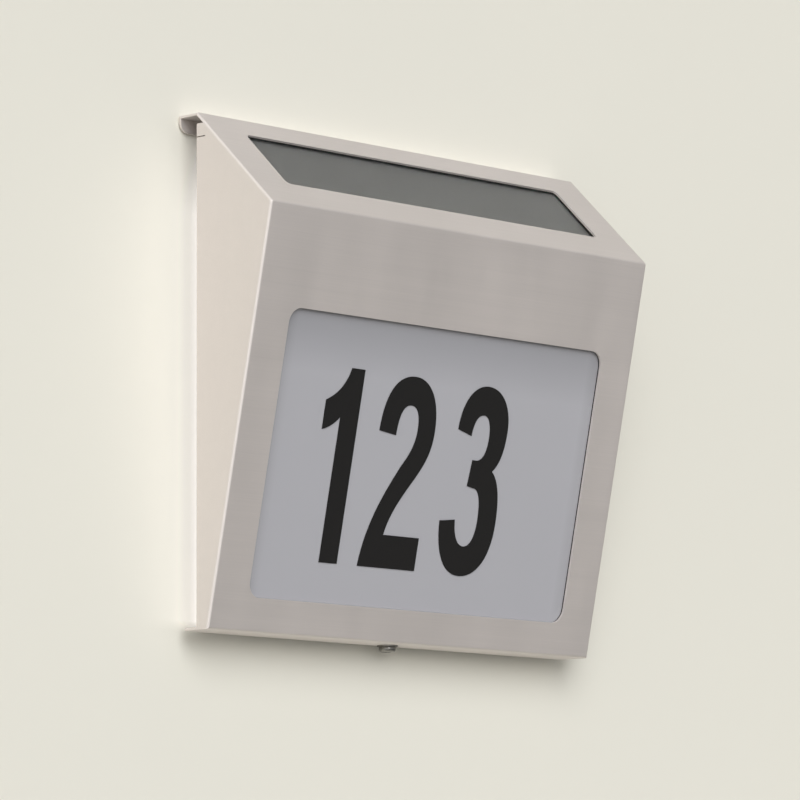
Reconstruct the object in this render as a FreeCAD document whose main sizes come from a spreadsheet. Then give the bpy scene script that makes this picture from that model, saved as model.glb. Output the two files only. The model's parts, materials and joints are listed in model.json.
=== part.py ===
import FreeCAD, Part
import math
import os

import Sketcher
from FreeCAD import Placement, Rotation, Vector

# Solar house number sign for a wall. X runs to the right, +Y runs into the wall, Z is up.
# The origin lies on the wall face, at the centre of the bracket's four screw holes.
# Depths from the wall are positive numbers, so a depth of 5 lies at y = -5.

sizes = {
    # folded sheet housing
    "width": 200, "height": 180, "depth": 46, "foot_depth": 15.2, "fold_drop": 35.1,
    "sheet": 0.8, "bend_radius": 1, "rear_gap": 9.9, "side_flange": 6, "slit_drop": 8.6, "slit_length": 4,
    "slit_width": 0.4, "clip_drop": 4.1, "hook_drop": 0.3, "hook_height": 5.6, "hook_corner": 3.5,
    "hook_gap": 0.3, "foot_reach": 2.3, "foot_corner": 2, "overcut": 1,
    # front window and its diffuser
    "window_side": 17.2, "window_top": 35, "window_bottom": 12, "window_radius": 5.5,
    "seal_thick": 0.6, "seal_width": 4, "diffuser_thick": 2, "diffuser_side": 5, "diffuser_top": 25,
    "diffuser_bottom": 5.2, "stud_side": 10, "stud_top": 30, "stud_bottom": 8.7, "stud_radius": 1.5,
    "stud_spare": 1, "nut_flats": 5.5, "nut_thick": 2.4, "hole_play": 0.2,
    # solar module under the sloping top
    "solar_side": 17.4, "solar_low": 12.8, "solar_high": 9.3, "solar_radius": 2, "module_side": 13,
    "module_low": 9, "module_high": 7.3, "gasket_thick": 0.4, "glass_thick": 1.2, "cell_thick": 0.3,
    "cell_gap": 0.3, "board_thick": 1.6, "clamp_width": 12, "clamp_side": 4, "clamp_thick": 1.2,
    "clamp_inset": 3, "clamp_stud_side": 8.5,
    # electronics box behind the window's top edge
    "box_half": 60, "box_drop": 32.9, "box_rim": 14.1, "box_wall": 1.6, "box_air": 0.9, "ear_height": 8,
    "ear_thick": 2, "cover_seal_thick": 0.6, "cover_thick": 2, "boss_radius": 3, "boss_length": 8,
    "boss_low_rise": 3.6, "boss_high_rise": 40, "screw_radius": 1.1,
    # battery and its door
    "cell_radius": 7.25, "cell_length": 50.5, "nub_length": 1.5, "nub_radius": 2.75, "battery_x": -49.5,
    "battery_rise": 18, "battery_depth": 22.5, "contact_thick": 0.6, "contact_spring": 2.3, "rib_thick": 1.6,
    "wire_rise": 30, "port_play": 1, "door_lap": 2, "door_thick": 1.2, "door_play": 0.1, "rail_play": 0.2,
    "rail_thick": 1, "rail_lip": 1, "rail_foot": 1.6,
    # main board, switch and parts on it
    "main_depth": 19.6, "main_left": 5, "main_right": 51.5, "main_low_rise": 2.5, "main_high_rise": 42,
    "peg_inset": 4, "peg_radius": 2.4, "peg_low_rise": 9, "peg_high_rise": 33.5, "switch_x": 30,
    "switch_rise": 36, "switch_width": 9, "switch_height": 4, "switch_body_thick": 4, "slider_width": 3,
    "slider_height": 1.6, "switch_travel": 2.5, "slider_play": 0.2, "slider_proud": 1.2,
    "wire_radius": 0.6, "wire_bend": 2.4, "wire_depth": 26,
    # led strip
    "strip_half": 57, "strip_front": 29, "strip_rear": 17, "strip_thick": 1.2, "led_size": 5,
    "led_thick": 1.5, "led_pitch": 34,
    # small parts on the main board
    "chip_size": 6, "chip_thick": 1.4, "coil_radius": 3, "coil_thick": 4, "can_radius": 2.5, "can_length": 6,
    "resistor_length": 2, "resistor_width": 1.2, "resistor_thick": 0.6, "resistor_pitch": 4,
    "wire_x": 20, "wire_pitch": 2.4, "wire_port": 2.8,
    # wall bracket and locking screw
    "plate_half": 75, "plate_thick": 1, "plate_radius": 6, "hole_x": 120, "hole_z": 100, "hole_radius": 2.5,
    "ledge_half": 90, "ledge_drop": 10, "lip_depth": 8, "lip_play": 0.05, "tab_half": 12, "tab_depth": 12.5,
    "tab_play": 0.3, "lock_depth": 6.5, "lock_radius": 2, "lock_play": 0.2, "lock_head_radius": 3.1,
    "lock_head": 2, "washer_thick": 0.5, "washer_radius": 3.8, "lock_flats": 7, "lock_nut": 3.2,
    "cut_half": 22, "cut_height": 52,
}

# Levels that are measured from another level, so that they move with the housing.
levels = {
    "ledge_top": "height / 2 - ledge_drop",
    "box_floor": "height / 2 - fold_drop - box_drop",
    "boss_low": "box_floor + boss_low_rise",
    "boss_high": "box_floor + boss_high_rise",
    "battery_z": "box_floor + battery_rise",
    "wire_level": "box_floor + wire_rise",
    "main_low": "box_floor + main_low_rise",
    "main_high": "box_floor + main_high_rise",
    "peg_low": "box_floor + peg_low_rise",
    "peg_high": "box_floor + peg_high_rise",
    "switch_z": "box_floor + switch_rise",
}

doc = FreeCAD.newDocument("house_number_sign")
sheet = doc.addObject("Spreadsheet::Sheet", "Sizes")
for row, (alias, number) in enumerate(sizes.items(), 1):
    sheet.set("A%d" % row, alias)
    sheet.set("B%d" % row, str(number))
    sheet.setAlias("B%d" % row, alias)
doc.recompute()

nodes = {}


def cells(text):
    """Turn plain size names into references to the sheet, and level names into what they stand for."""
    out, word = [], ""
    for letter in text + " ":
        if letter.isalnum() or letter == "_":
            word += letter
            continue
        if word in levels:
            out.append("(" + cells(levels[word]) + ")")
        else:
            out.append("Sizes." + word if word in sizes else word)
        out.append(letter)
        word = ""
    return "".join(out).strip()


def value(text):
    number = sheet.evalExpression(cells(text))
    return float(getattr(number, "Value", number))


# Places that several pieces share, as expressions of the sizes.
fold = "(height / 2 - fold_drop)"
tilt = "atan2(depth - foot_depth; height - fold_drop)"
slope = "atan2(fold_drop; depth - rear_gap)"
frontLength = "sqrt((depth - foot_depth)^2 + (height - fold_drop)^2)"
topLength = "sqrt((depth - rear_gap)^2 + fold_drop^2)"
stack = "(sheet + gasket_thick + glass_thick + cell_thick + board_thick)"
diffuserOff = "(sheet + seal_thick)"
boxOff = "(sheet + seal_thick + diffuser_thick)"


def frontDepth(level, inward):
    """Depth of the plane that lies inward behind the front sheet's face, at a level."""
    return f"(foot_depth + ({level} + height / 2) * tan({tilt}) - {inward} / cos({tilt}))"


def underTop(depthText, inward):
    """Level of the plane that lies inward under the top sheet's face, at a depth."""
    return f"({fold} + (depth - {depthText}) * tan({slope}) - {inward} / cos({slope}))"


def cornerPoint(frontInward, topInward):
    """Where a plane behind the front sheet meets a plane under the top sheet, as y and z."""
    rise = f"({fold} + height / 2 + depth * tan({slope}) - {topInward} / cos({slope}))"
    spread = f"(1 + tan({slope}) * tan({tilt}))"
    away = f"((foot_depth + tan({tilt}) * {rise} - {frontInward} / cos({tilt})) / {spread})"
    return f"-{away}", underTop(away, topInward)


def bind(thing, path, text):
    thing.setExpression(path, cells(text))


def makeBody(name, tilted=None):
    body = doc.addObject("PartDesign::Body", name)
    body.Label = name
    nodes[name] = body
    if tilted:
        body.Placement = Placement(Vector(0, 0, 0), Rotation(Vector(1, 0, 0), 10))
        bind(body, "Placement.Base.y", "-depth")
        bind(body, "Placement.Base.z", fold)
        bind(body, "Placement.Rotation.Angle", tilted)
    return body


def makeSketch(body, plane, start="0", along=None, turned=None):
    sketch = body.newObject("Sketcher::SketchObject", body.Name + "_sketch")
    origin = {f.Role: f for f in body.Origin.OriginFeatures}
    sketch.AttachmentSupport = [(origin[plane + "_Plane"], "")]
    sketch.MapMode = "FlatFace"
    angle = 10 if turned else 0
    sketch.AttachmentOffset = Placement(Vector(0, 0, 0), Rotation(Vector(1, 0, 0), angle))
    bind(sketch, "AttachmentOffset.Base.z", start)
    if along:
        bind(sketch, "AttachmentOffset.Base.y", along)
    if turned:
        bind(sketch, "AttachmentOffset.Rotation.Angle", turned)
    return sketch


def place(sketch, kind, geo, point, text):
    index = sketch.addConstraint(Sketcher.Constraint(kind, -1, 1, geo, point, value(text)))
    bind(sketch, "Constraints[%d]" % index, text)


def polygon(sketch, points):
    first = sketch.GeometryCount
    spots = [Vector(value(x), value(y), 0) for x, y in points]
    count = len(spots)
    for i in range(count):
        sketch.addGeometry(Part.LineSegment(spots[i], spots[(i + 1) % count]), False)
    for i in range(count):
        sketch.addConstraint(Sketcher.Constraint("Coincident", first + i, 2, first + (i + 1) % count, 1))
    for i, (x, y) in enumerate(points):
        place(sketch, "DistanceX", first + i, 1, x)
        place(sketch, "DistanceY", first + i, 1, y)


def rectangle(sketch, left, low, right, high):
    polygon(sketch, [(left, low), (right, low), (right, high), (left, high)])


def square(sketch, x, y, reach):
    rectangle(sketch, f"{x} - {reach}", f"{y} - {reach}", f"{x} + {reach}", f"{y} + {reach}")


def rounded(sketch, left, low, right, high, radius):
    x0, y0, x1, y1, r = [value(text) for text in (left, low, right, high, radius)]
    first = sketch.GeometryCount
    ends = [((x0 + r, y0), (x1 - r, y0)), ((x1, y0 + r), (x1, y1 - r)),
            ((x1 - r, y1), (x0 + r, y1)), ((x0, y1 - r), (x0, y0 + r))]
    middles = [(x1 - r, y0 + r), (x1 - r, y1 - r), (x0 + r, y1 - r), (x0 + r, y0 + r)]
    for a, b in ends:
        sketch.addGeometry(Part.LineSegment(Vector(*a, 0), Vector(*b, 0)), False)
    for i, c in enumerate(middles):
        arc = Part.Circle(Vector(*c, 0), Vector(0, 0, 1), r)
        start = (i - 1) * math.pi / 2
        sketch.addGeometry(Part.ArcOfCircle(arc, start, start + math.pi / 2), False)
    for i in range(4):
        sketch.addConstraint(Sketcher.Constraint("Tangent", first + i, 2, first + 4 + i, 1))
        sketch.addConstraint(Sketcher.Constraint("Tangent", first + 4 + i, 2, first + (i + 1) % 4, 1))
    for kind, line in (("Horizontal", 0), ("Vertical", 1), ("Horizontal", 2), ("Vertical", 3)):
        sketch.addConstraint(Sketcher.Constraint(kind, first + line))
    for i in range(3):
        sketch.addConstraint(Sketcher.Constraint("Equal", first + 4, first + 5 + i))
    index = sketch.addConstraint(Sketcher.Constraint("Radius", first + 4, r))
    bind(sketch, "Constraints[%d]" % index, radius)
    place(sketch, "DistanceX", first + 3, 1, left)
    place(sketch, "DistanceX", first + 1, 1, right)
    place(sketch, "DistanceY", first, 1, low)
    place(sketch, "DistanceY", first + 2, 1, high)


def circle(sketch, x, y, radius):
    centre = Vector(value(x), value(y), 0)
    geo = sketch.addGeometry(Part.Circle(centre, Vector(0, 0, 1), value(radius)), False)
    place(sketch, "DistanceX", geo, 3, x)
    place(sketch, "DistanceY", geo, 3, y)
    index = sketch.addConstraint(Sketcher.Constraint("Radius", geo, value(radius)))
    bind(sketch, "Constraints[%d]" % index, radius)


def hexagon(sketch, x, y, flats):
    reach = f"{flats} / sqrt(3)"
    angles = range(0, 360, 60)
    polygon(sketch, [(f"{x} + {reach} * cos({a} deg)", f"{y} + {reach} * sin({a} deg)") for a in angles])


def extrude(body, sketch, length, kind="Pad", symmetric=False, back=False):
    feature = body.newObject("PartDesign::" + kind, body.Name + "_" + kind.lower())
    feature.Profile = sketch
    if symmetric:
        feature.SideType = "Symmetric"
    feature.Reversed = back
    bind(feature, "Length", length)
    body.Tip = feature
    return feature


def soften(body, radius, test, kind="Fillet"):
    """Fillet or chamfer the edges whose middle passes the test."""
    doc.recompute()
    base = body.Tip
    picked = ["Edge%d" % (i + 1) for i, e in enumerate(base.Shape.Edges) if test(e.CenterOfMass, e)]
    feature = body.newObject("PartDesign::" + kind, body.Name + "_" + kind.lower())
    feature.Base = (base, picked)
    bind(feature, "Radius" if kind == "Fillet" else "Size", radius)
    body.Tip = feature
    return feature


def layer(name, plane, tilted, inward, thick, draw):
    """A flat piece parallel to a sheet of the housing, its outer face inward behind that sheet's face."""
    body = makeBody(name, tilted)
    sketch = makeSketch(body, plane, f"-({inward} + {thick})")
    draw(sketch)
    extrude(body, sketch, thick)
    return body


def near(a, b, play=0.01):
    return abs(a - b) < play


# ---- housing shell: one folded sheet, open to the wall ----
shell = makeBody("housing_shell")
profile = makeSketch(shell, "YZ")
polygon(profile, [("-rear_gap", "height / 2"), ("-depth", fold),
                  ("-foot_depth", "-height / 2"), ("-rear_gap", "-height / 2")])
extrude(shell, profile, "width", symmetric=True)
inside = makeSketch(shell, "YZ")
cutRear = "overcut - rear_gap"
roofRear = underTop("(rear_gap - overcut)", "sheet")
polygon(inside, [(cutRear, roofRear), cornerPoint("sheet", "sheet"),
                 (f"-{frontDepth('(sheet - height / 2)', 'sheet')}", "sheet - height / 2"),
                 (cutRear, "sheet - height / 2")])
extrude(shell, inside, "width - 2 * sheet", "Pocket", symmetric=True)
half = value("width") / 2
bottom = -value("height") / 2


def isBend(c, edge, inset):
    """The fold, the foot and the side edges of the front and the top, on the outer or the inner skin."""
    level = c.z - (bottom + inset)
    onSide = near(abs(c.x), half - inset)
    across = near(c.x, 0) and edge.Length > half
    onRear = near(c.y, -value("rear_gap"))
    if onRear or (onSide and near(level, 0)):
        return False
    return onSide or (across and (near(level, 0) or c.z > 0) and isSkin(c, inset))


def isSkin(c, inset):
    """True on the outer skin for no inset, and on the inner skin for the sheet's thickness."""
    middle = value("sheet") / 2
    outer = c.y < -value("depth") + middle or c.z < bottom + middle
    return outer == near(inset, 0)


soften(shell, "bend_radius", lambda c, e: isBend(c, e, 0))

window = makeSketch(shell, "XZ", "depth", fold, tilt)
rounded(window, "window_side - width / 2", f"window_bottom - {frontLength}", "width / 2 - window_side",
        "-window_top", "window_radius")
extrude(shell, window, "3 * sheet", "Pocket", symmetric=True)

# A sketch start, shift and turn count along the axes of the plane it lies on: here up, back and about X.
solarWindow = makeSketch(shell, "XY", fold, "-depth", slope)
rounded(solarWindow, "solar_side - width / 2", "solar_low", "width / 2 - solar_side",
        f"{topLength} - solar_high", "solar_radius")
extrude(shell, solarWindow, "3 * sheet", "Pocket", symmetric=True)

# The side panels stop short of the ridge, so the top sheet's underside shows above them.
clip = makeSketch(shell, "YZ")
clipLevel = "(height / 2 - clip_drop)"
clipDepth = f"(depth - ({clipLevel} + sheet / cos({slope}) - {fold}) / tan({slope}))"
polygon(clip, [(cutRear, clipLevel), (cutRear, roofRear), (f"-{clipDepth}", clipLevel)])
extrude(shell, clip, "2 * width", "Pocket", symmetric=True)

# Rolled hook along the top edge, hanging over the bracket's lip.
hookFall = "atan2(hook_drop; rear_gap - hook_gap)"
hookInner = "(hook_gap + sheet)"
hookUnder = f"(height / 2 - sheet / cos({hookFall}))"
hook = makeSketch(shell, "YZ")
polygon(hook, [("-rear_gap", "height / 2"), ("-hook_gap", "height / 2 - hook_drop"),
               ("-hook_gap", "height / 2 - hook_drop - hook_height"),
               (f"-{hookInner}", "height / 2 - hook_drop - hook_height"),
               (f"-{hookInner}", f"{hookUnder} - (rear_gap - {hookInner}) * tan({hookFall})"),
               ("-rear_gap", hookUnder)])
extrude(shell, hook, "width - 2 * bend_radius", symmetric=True)
hookLow = value("height / 2 - hook_drop - hook_height")
soften(shell, "hook_corner", lambda c, e: near(c.z, hookLow) and near(e.Length, value("sheet")))

# Return flanges along the sides' rear edges, below a relief slit.
flangeTop = "(height / 2 - slit_drop - slit_width)"
flanges = makeSketch(shell, "XZ", "rear_gap")
for sign in ("-", ""):
    outer = f"{sign}(width / 2 - sheet / 2)"
    inner = f"{sign}(width / 2 - side_flange)"
    left, right = (outer, inner) if sign else (inner, outer)
    rectangle(flanges, left, "sheet / 2 - height / 2", right, flangeTop)
extrude(shell, flanges, "sheet")
slits = makeSketch(shell, "YZ")
rectangle(slits, "-rear_gap - slit_length", flangeTop, cutRear, "height / 2 - slit_drop")
extrude(shell, slits, "2 * width", "Pocket", symmetric=True)

# Bottom flange, which reaches back under the bracket's tab and holds the locking screw.
foot = makeSketch(shell, "XY", "-height / 2")
polygon(foot, [("-width / 2", "-rear_gap - sheet"), ("width / 2", "-rear_gap - sheet"),
               ("width / 2", "-foot_reach - foot_corner"), ("width / 2 - foot_corner", "-foot_reach"),
               ("foot_corner - width / 2", "-foot_reach"), ("-width / 2", "-foot_reach - foot_corner")])
extrude(shell, foot, "sheet")
lockHole = makeSketch(shell, "XY", "-height / 2")
circle(lockHole, "0", "-lock_depth", "lock_radius + hole_play")
extrude(shell, lockHole, "3 * sheet", "Pocket", symmetric=True)


def fourSpots(draw, xText, highText, lowText):
    """Draw at the four corners of a rectangle that is even about the middle."""
    for sign in ("-", ""):
        for along in (highText, lowText):
            draw(f"{sign}({xText})", along)


def twoSpots(draw, spots):
    """Draw at a spot and its mirror image."""
    for sign in ("-", ""):
        draw(f"{sign}({spots[0]})", spots[1])


frontStuds = ("width / 2 - stud_side", "-stud_top", f"-({frontLength} - stud_bottom)")
topStuds = ("width / 2 - clamp_stud_side", f"(module_low + {topLength} - module_high) / 2")
studs = makeSketch(shell, "XZ", "depth", fold, tilt)
fourSpots(lambda x, z: circle(studs, x, z, "stud_radius"), *frontStuds)
extrude(shell, studs, f"{boxOff} + ear_thick + nut_thick + stud_spare", back=True)
upperStuds = makeSketch(shell, "XY", fold, "-depth", slope)
twoSpots(lambda x, y: circle(upperStuds, x, y, "stud_radius"), topStuds)
extrude(shell, upperStuds, f"{stack} + clamp_thick + nut_thick + stud_spare", back=True)
doc.recompute()

# ---- wall bracket: plate, ledge with a rounded lip, and a slotted tab for the locking screw ----
lipRadius = "(plate_thick / 2)"
lipRoom = f"((rear_gap - lip_depth) * tan({hookFall}) + ({lipRadius} + lip_play) / cos({hookFall}))"
pivotLevel = f"({hookUnder} - {lipRoom})"
tabTop = "(sheet + tab_play + plate_thick - height / 2)"
tabLow = "(sheet + tab_play - height / 2)"

bracket = makeBody("wall_bracket")
plate = makeSketch(bracket, "XZ")
rounded(plate, "-plate_half", tabLow, "plate_half", "ledge_top", "plate_radius")
for sign in ("-", ""):
    for level in ("-hole_z / 2", "hole_z / 2"):
        circle(plate, f"{sign}(hole_x / 2)", level, "hole_radius")
for low in ("-cut_height - plate_radius", "plate_radius"):
    rounded(plate, "-cut_half", low, "cut_half", f"{low} + cut_height", "plate_radius")
extrude(bracket, plate, "plate_thick")
ledge = makeSketch(bracket, "YZ")
lipRear, lipFront = f"{lipRadius} - lip_depth", f"-{lipRadius} - lip_depth"
polygon(ledge, [("0", "ledge_top - plate_thick"), ("0", "ledge_top"), (lipRear, "ledge_top"),
                (lipRear, pivotLevel), (lipFront, pivotLevel), (lipFront, "ledge_top - plate_thick")])
extrude(bracket, ledge, "2 * ledge_half", symmetric=True)
lip = makeSketch(bracket, "YZ")
circle(lip, "-lip_depth", pivotLevel, lipRadius)
extrude(bracket, lip, "2 * ledge_half", symmetric=True)
tab = makeSketch(bracket, "XY", tabLow)
rectangle(tab, "-tab_half", "-tab_depth", "tab_half", "0")
extrude(bracket, tab, "plate_thick")
slot = makeSketch(bracket, "XY", tabLow)
slotHalf = "(lock_radius + lock_play)"
rectangle(slot, f"-{slotHalf}", "-tab_depth - plate_thick", slotHalf, "-lock_depth")
extrude(bracket, slot, "3 * plate_thick", "Pocket", symmetric=True)
slotEnd = makeSketch(bracket, "XY", tabLow)
circle(slotEnd, "0", "-lock_depth", slotHalf)
extrude(bracket, slotEnd, "3 * plate_thick", "Pocket", symmetric=True)

# ---- locking screw under the bottom flange, with its washer and nut ----
washer = makeBody("lock_washer")
ring = makeSketch(washer, "XY", "-height / 2 - washer_thick")
circle(ring, "0", "-lock_depth", "washer_radius")
circle(ring, "0", "-lock_depth", "lock_radius + hole_play")
extrude(washer, ring, "washer_thick")

lockScrew = makeBody("lock_screw")
headLow = "(-height / 2 - washer_thick - lock_head)"
head = makeSketch(lockScrew, "XY", headLow)
circle(head, "0", "-lock_depth", "lock_head_radius")
extrude(lockScrew, head, "lock_head")
soften(lockScrew, "lock_head / 3", lambda c, e: near(c.z, value(headLow)), "Chamfer")
shank = makeSketch(lockScrew, "XY", f"{headLow} + lock_head / 2")
circle(shank, "0", "-lock_depth", "lock_radius")
extrude(lockScrew, shank, f"{tabTop} - {headLow} + lock_nut")
drive = makeSketch(lockScrew, "XY", headLow)
rectangle(drive, "-sheet / 2", "-lock_depth - lock_radius", "sheet / 2", "-lock_depth + lock_radius")
extrude(lockScrew, drive, "lock_head / 2", "Pocket", back=True)
driveAcross = makeSketch(lockScrew, "XY", headLow)
rectangle(driveAcross, "-lock_radius", "-lock_depth - sheet / 2", "lock_radius", "-lock_depth + sheet / 2")
extrude(lockScrew, driveAcross, "lock_head / 2", "Pocket", back=True)

lockNut = makeBody("lock_nut")
nut = makeSketch(lockNut, "XY", f"{tabTop} + tab_play")
hexagon(nut, "0", "-lock_depth", "lock_flats")
circle(nut, "0", "-lock_depth", "lock_radius")
extrude(lockNut, nut, "lock_nut")

# ---- diffuser behind the front window ----
diffuserEdges = ("diffuser_side - width / 2", f"diffuser_bottom - {frontLength}", "width / 2 - diffuser_side",
                 "-diffuser_top")


def drawDiffuser(sketch):
    rectangle(sketch, *diffuserEdges)
    fourSpots(lambda x, z: circle(sketch, x, z, "stud_radius + hole_play"), *frontStuds)


def drawSeal(sketch):
    rounded(sketch, "window_side - width / 2 - seal_width", f"window_bottom - {frontLength} - seal_width",
            "width / 2 - window_side + seal_width", "seal_width - window_top", "window_radius + seal_width")
    rounded(sketch, "window_side - width / 2 - hole_play", f"window_bottom - {frontLength} - hole_play",
            "width / 2 - window_side + hole_play", "hole_play - window_top", "window_radius + hole_play")


layer("diffuser", "XZ", tilt, diffuserOff, "diffuser_thick", drawDiffuser)
layer("window_seal", "XZ", tilt, "sheet", "seal_thick", drawSeal)


upperSpots = (frontStuds[0], frontStuds[1])
lowerSpots = (frontStuds[0], frontStuds[2])


def drawPair(spots, sketch):
    twoSpots(lambda x, along: hexagon(sketch, x, along, "nut_flats"), spots)
    twoSpots(lambda x, along: circle(sketch, x, along, "stud_radius"), spots)


layer("box_nuts", "XZ", tilt, f"({boxOff} + ear_thick)", "nut_thick", lambda s: drawPair(upperSpots, s))
layer("diffuser_nuts", "XZ", tilt, boxOff, "nut_thick", lambda s: drawPair(lowerSpots, s))

# ---- solar module in the sloping top ----
moduleHigh = f"{topLength} - module_high"
moduleEdges = ("module_side - width / 2", "module_low", "width / 2 - module_side", moduleHigh)
gasketOff = "sheet"
glassOff = "(sheet + gasket_thick)"
cellOff = "(sheet + gasket_thick + glass_thick)"
backOff = "(sheet + gasket_thick + glass_thick + cell_thick)"


def drawGasket(sketch):
    rectangle(sketch, *moduleEdges)
    rounded(sketch, "solar_side - width / 2 - hole_play", "solar_low - hole_play",
            "width / 2 - solar_side + hole_play", f"{topLength} - solar_high + hole_play", "solar_radius")


def drawCells(sketch):
    count = 8
    wide = f"((width - 2 * solar_side) / {count})"
    for i in range(count):
        left = f"solar_side - width / 2 + {i} * {wide} + cell_gap / 2"
        rectangle(sketch, left, "solar_low", f"{left} + {wide} - cell_gap", f"{topLength} - solar_high")


def drawClamps(sketch):
    for sign in ("-", ""):
        outer = f"{sign}(width / 2 - clamp_side)"
        inner = f"{sign}(width / 2 - clamp_side - clamp_width)"
        left, right = (outer, inner) if sign else (inner, outer)
        rectangle(sketch, left, "module_low + clamp_inset", right, f"{topLength} - module_high - clamp_inset")
    twoSpots(lambda x, y: circle(sketch, x, y, "stud_radius + hole_play"), topStuds)


layer("solar_gasket", "XY", slope, gasketOff, "gasket_thick", drawGasket)
layer("solar_glass", "XY", slope, glassOff, "glass_thick", lambda s: rectangle(s, *moduleEdges))
layer("solar_cells", "XY", slope, cellOff, "cell_thick", drawCells)
layer("solar_backboard", "XY", slope, backOff, "board_thick", lambda s: rectangle(s, *moduleEdges))
layer("solar_clamps", "XY", slope, stack, "clamp_thick", drawClamps)
layer("solar_nuts", "XY", slope, f"({stack} + clamp_thick)", "nut_thick", lambda s: drawPair(topStuds, s))

# ---- electronics box behind the top of the window ----
box = makeBody("electronics_box")
roof = f"({stack} + box_air)"
boxSide = makeSketch(box, "YZ")
polygon(boxSide, [("-box_rim", underTop("box_rim", roof)), cornerPoint(boxOff, roof),
                  (f"-{frontDepth('box_floor', boxOff)}", "box_floor"), ("-box_rim", "box_floor")])
extrude(box, boxSide, "2 * box_half", symmetric=True)
boxInner = makeSketch(box, "YZ")
innerRoof = f"({roof} + box_wall)"
innerFloor = "(box_floor + box_wall)"
polygon(boxInner, [("overcut - box_rim", underTop("(box_rim - overcut)", innerRoof)),
                   cornerPoint(f"({boxOff} + box_wall)", innerRoof),
                   (f"-{frontDepth(innerFloor, f'({boxOff} + box_wall)')}", innerFloor),
                   ("overcut - box_rim", innerFloor)])
extrude(box, boxInner, "2 * box_half - 2 * box_wall", "Pocket", symmetric=True)
ears = makeSketch(box, "XZ", f"depth - {boxOff} * cos({tilt})", f"{fold} + {boxOff} * sin({tilt})", tilt)
for sign in ("-", ""):
    outer = f"{sign}(width / 2 - diffuser_side)"
    inner = f"{sign}(box_half - box_wall / 2)"
    left, right = (outer, inner) if sign else (inner, outer)
    rectangle(ears, left, "-stud_top - ear_height / 2", right, "ear_height / 2 - stud_top")
twoSpots(lambda x, z: circle(ears, x, z, "stud_radius + hole_play"), frontStuds)
extrude(box, ears, "ear_thick", back=True)

# Screw bosses in the corners, ribs that hold the battery's ends, and two pegs for the main board, one of
# them with its screw.
bossX = "box_half - box_wall - boss_radius + hole_play"
bosses = makeSketch(box, "XZ", "box_rim")
fourSpots(lambda x, z: square(bosses, x, z, "boss_radius"), bossX, "boss_high", "boss_low")
extrude(box, bosses, "boss_length")
pilots = makeSketch(box, "XZ", "box_rim")
fourSpots(lambda x, z: circle(pilots, x, z, "screw_radius"), bossX, "boss_high", "boss_low")
extrude(box, pilots, "boss_length - box_wall", "Pocket", back=True)
cellEnd = "battery_x + cell_length"
negativeFace = "(battery_x - contact_spring - contact_thick)"
ribs = makeSketch(box, "XZ", "box_rim + box_wall")
ribHigh = "(battery_z + cell_radius)"
ribLow = "(box_floor + box_wall / 2)"
rectangle(ribs, f"{negativeFace} - rib_thick", ribLow, negativeFace, ribHigh)
rectangle(ribs, f"{cellEnd} + contact_thick", ribLow, f"{cellEnd} + contact_thick + rib_thick", ribHigh)
extrude(box, ribs, "2 * cell_radius + box_wall")
pegDepth = "(main_depth + board_thick)"
pegSpots = [("main_right - peg_inset", "peg_low"), ("main_left + peg_inset", "peg_high")]
lowPeg = makeSketch(box, "XZ", pegDepth)
square(lowPeg, *pegSpots[0], "peg_radius")
extrude(box, lowPeg, f"{frontDepth('peg_low', boxOff)} - box_wall / 2 - {pegDepth}")
highPeg = makeSketch(box, "XZ", pegDepth)
square(highPeg, *pegSpots[1], "peg_radius")
roofDepth = f"(depth - (peg_high + {roof} / cos({slope}) - {fold}) / tan({slope}))"
extrude(box, highPeg, f"{roofDepth} - peg_radius - {pegDepth}")
pegHole = makeSketch(box, "XZ", pegDepth)
circle(pegHole, *pegSpots[0], "screw_radius")
extrude(box, pegHole, "boss_length - 2 * box_wall", "Pocket", back=True)

# ---- cover on the box's rear rim, its seal and its screws ----
rimTop = underTop("box_rim", roof)
coverRear = "(box_rim - cover_seal_thick - cover_thick)"
port = ("battery_x - port_play", "battery_z - cell_radius - port_play", f"{cellEnd} + port_play",
        "battery_z + cell_radius + port_play")
doorEdges = [f"{edge} {sign} door_lap" for edge, sign in zip(port, "--++")]
coverSeal = makeBody("cover_seal")
band = makeSketch(coverSeal, "XZ", "box_rim - cover_seal_thick")
rectangle(band, "-box_half", "box_floor", "box_half", rimTop)
innerTop = f"{rimTop} - box_wall / cos({slope})"
rectangle(band, "box_wall - box_half", innerFloor, "box_half - box_wall", innerTop)
extrude(coverSeal, band, "cover_seal_thick")

cover = makeBody("rear_cover")
lid = makeSketch(cover, "XZ", coverRear)
rectangle(lid, "-box_half", "box_floor", "box_half", rimTop)
rectangle(lid, *port)
sliderRun = "((slider_width + switch_travel) / 2 + slider_play)"
rectangle(lid, f"switch_x - {sliderRun}", "switch_z - slider_height", f"switch_x + {sliderRun}",
          "switch_z + slider_height")
fourSpots(lambda x, z: circle(lid, x, z, "screw_radius + hole_play"), bossX, "boss_high", "boss_low")
extrude(cover, lid, "cover_thick")
rails = makeSketch(cover, "YZ")
doorRear = f"({coverRear} - door_play - door_thick)"
lipDepth = f"({doorRear} - door_play)"
for sign, edge in (("+", doorEdges[3]), ("-", doorEdges[1])):
    root, far = f"{edge} {sign} rail_play", f"{edge} {sign} (rail_play + rail_foot)"
    lipEnd = f"{edge} {sign} (-rail_lip)"
    polygon(rails, [(f"-{coverRear}", root), (f"-{coverRear}", far), (f"rail_thick - {lipDepth}", far),
                    (f"rail_thick - {lipDepth}", lipEnd), (f"-{lipDepth}", lipEnd), (f"-{lipDepth}", root)])
extrude(cover, rails, "2 * box_half", symmetric=True)
stop = makeSketch(cover, "XZ", f"{lipDepth} - rail_thick")
rectangle(stop, "-box_half", f"{doorEdges[1]} - rail_play", f"{doorEdges[0]} - rail_play",
          f"{doorEdges[3]} + rail_play")
extrude(cover, stop, f"{coverRear} - {lipDepth} + rail_thick")

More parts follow.
